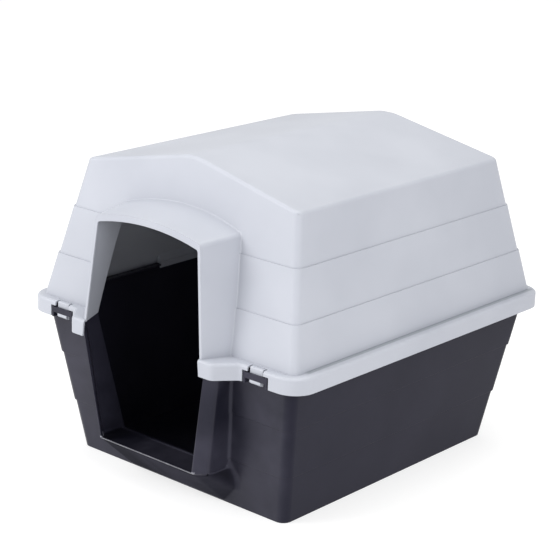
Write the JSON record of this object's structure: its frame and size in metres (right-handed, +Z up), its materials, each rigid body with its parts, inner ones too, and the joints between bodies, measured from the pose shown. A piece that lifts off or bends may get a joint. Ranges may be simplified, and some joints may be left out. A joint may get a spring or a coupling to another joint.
{
  "type": "calf hutch",
  "caption": "Two-part moulded animal shelter: dark floor tub with a low sill doorway, light gabled roof shell with an arched hood, held by spring-finger latches.",
  "frame": {"origin": "centre of the tub's flat underside, on the ground", "axes": "+X to the right seen from the doorway, the doorway faces -Y, +Z up"},
  "size_m": [0.72, 0.8405, 0.6645],
  "materials": {
    "tub_plastic": "dark charcoal moulded polypropylene, fine satin texture",
    "roof_plastic": "cool light grey moulded polypropylene, fine matte texture"
  },
  "bodies": {
    "tub": {"base_tub": "tub_plastic", "keeper_front_left": "tub_plastic", "keeper_front_right": "tub_plastic", "keeper_rear_left": "tub_plastic", "keeper_rear_right": "tub_plastic"},
    "roof": {"roof_shell": "roof_plastic"},
    "finger_fl": {"finger_front_left": "roof_plastic"},
    "finger_fr": {"finger_front_right": "roof_plastic"},
    "finger_rl": {"finger_rear_left": "roof_plastic"},
    "finger_rr": {"finger_rear_right": "roof_plastic"}
  },
  "joints": [
    {"name": "roof_lift", "type": "slide", "parent": "tub", "child": "roof", "axis": [0, 0, 1], "range_m": [0, 0.3]},
    {"name": "flex_fl", "type": "hinge", "parent": "roof", "child": "finger_fl", "pos_m": [-0.259, -0.3883, 0.3281], "axis": [1, 0, 0], "range_deg": [0, 12], "stiffness_Nm_per_rad": 1.5},
    {"name": "flex_fr", "type": "hinge", "parent": "roof", "child": "finger_fr", "pos_m": [0.259, -0.3883, 0.3281], "axis": [1, 0, 0], "range_deg": [0, 12], "stiffness_Nm_per_rad": 1.5},
    {"name": "flex_rl", "type": "hinge", "parent": "roof", "child": "finger_rl", "pos_m": [-0.259, 0.3883, 0.3281], "axis": [-1, 0, 0], "range_deg": [0, 12], "stiffness_Nm_per_rad": 1.5},
    {"name": "flex_rr", "type": "hinge", "parent": "roof", "child": "finger_rr", "pos_m": [0.259, 0.3883, 0.3281], "axis": [-1, 0, 0], "range_deg": [0, 12], "stiffness_Nm_per_rad": 1.5}
  ]
}
